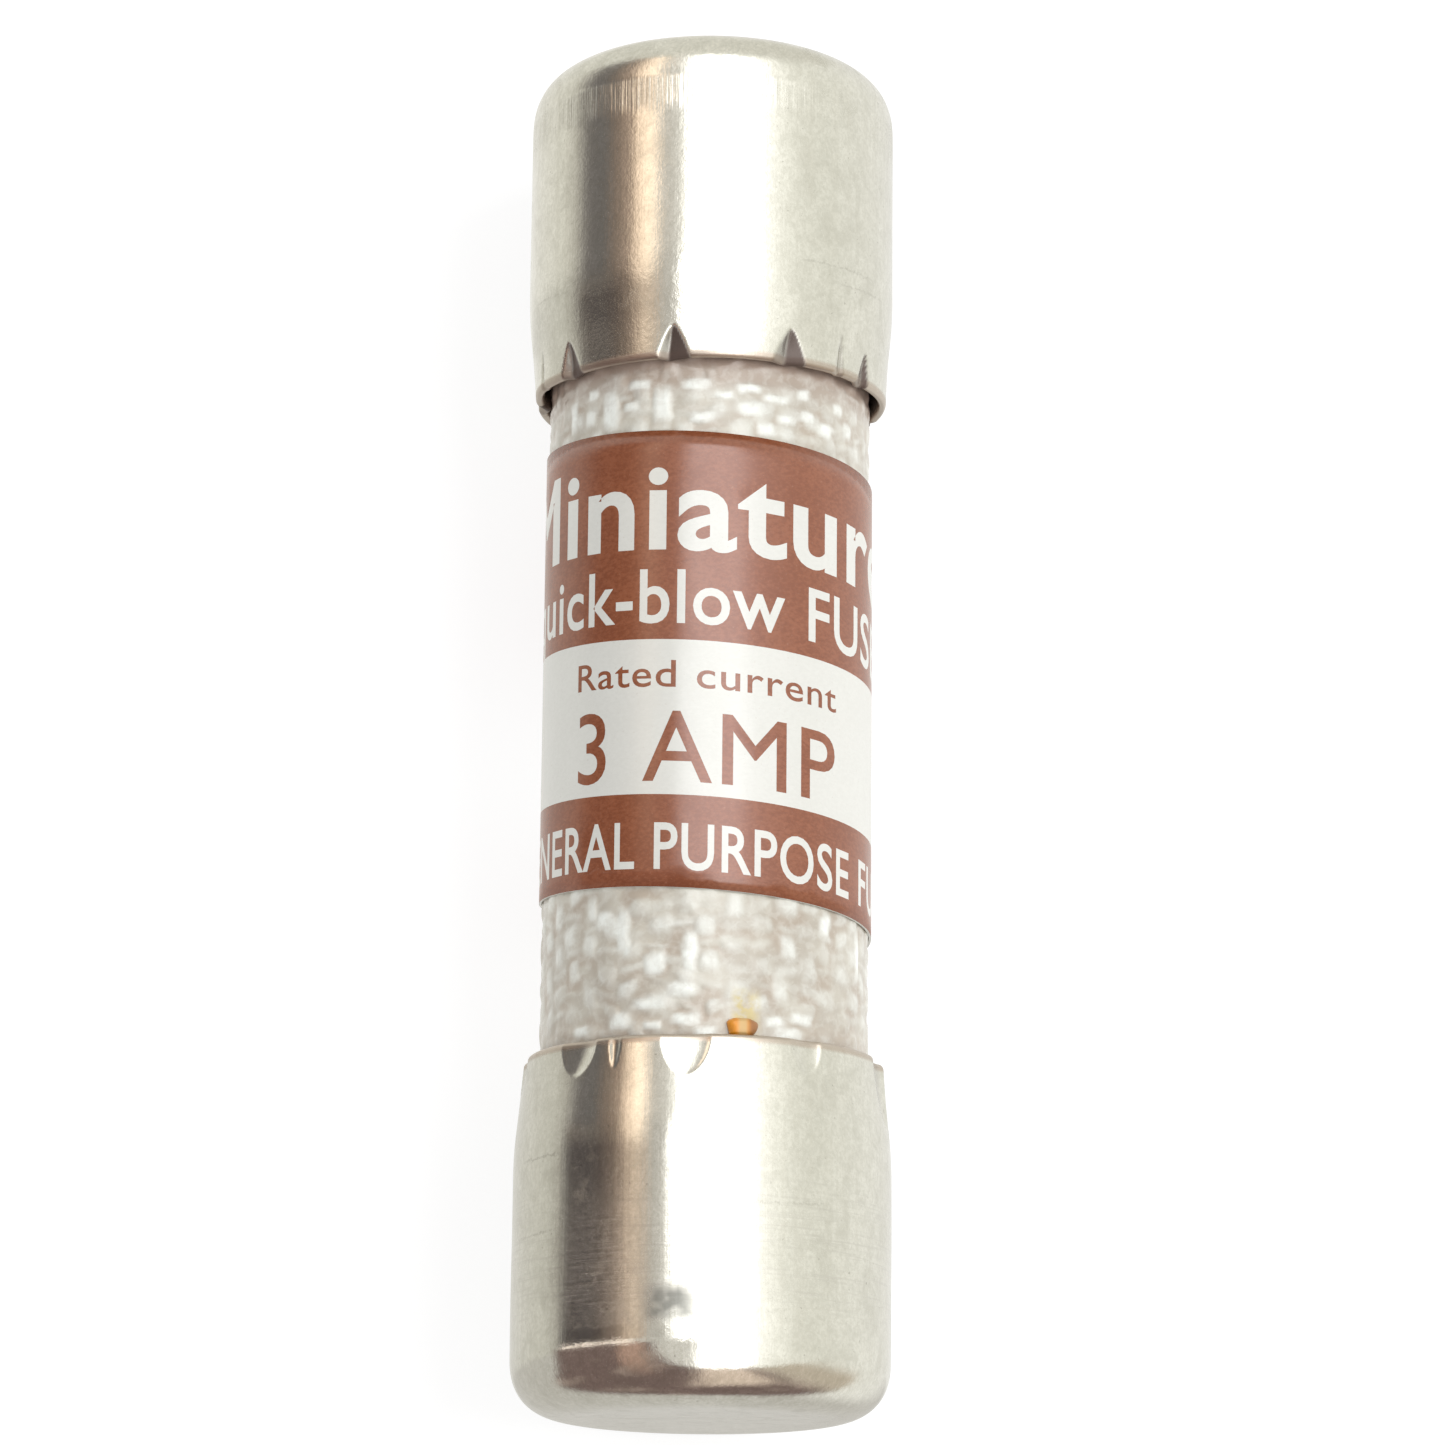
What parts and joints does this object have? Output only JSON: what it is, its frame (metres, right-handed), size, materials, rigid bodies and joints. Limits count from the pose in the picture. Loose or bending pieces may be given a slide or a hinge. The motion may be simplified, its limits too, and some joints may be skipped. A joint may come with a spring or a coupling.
{
  "type": "cartridge fuse",
  "caption": "Small cylindrical cartridge fuse: sand-filled glass-cloth tube closed by crimped nickel-plated ferrules, with a printed wrap-round label.",
  "frame": {"origin": "middle of the fuse on its axis", "axes": "+Y along the fuse's axis, towards the ferrule above the label's text; +Z out of the middle of the label's printed side; +X to the right of the text"},
  "size_m": [0.0104, 0.0382, 0.0104],
  "materials": {
    "nickel_plate": "polished",
    "glass_cloth_resin": "gloss",
    "label_paper": "satin",
    "vulcanised_fibre": "matte",
    "link_copper": "satin",
    "solder": "satin",
    "quartz_sand": "matte",
    "amber_cement": "gloss"
  },
  "bodies": {
    "root": {"upper_ferrule": "nickel_plate", "lower_ferrule": "nickel_plate", "tube": "glass_cloth_resin", "label": "label_paper", "upper_washer": "vulcanised_fibre", "lower_washer": "vulcanised_fibre", "fuse_link": "link_copper", "upper_solder": "solder", "lower_solder": "solder", "sand_filler": "quartz_sand", "cement_bead": "amber_cement"}
  },
  "joints": []
}
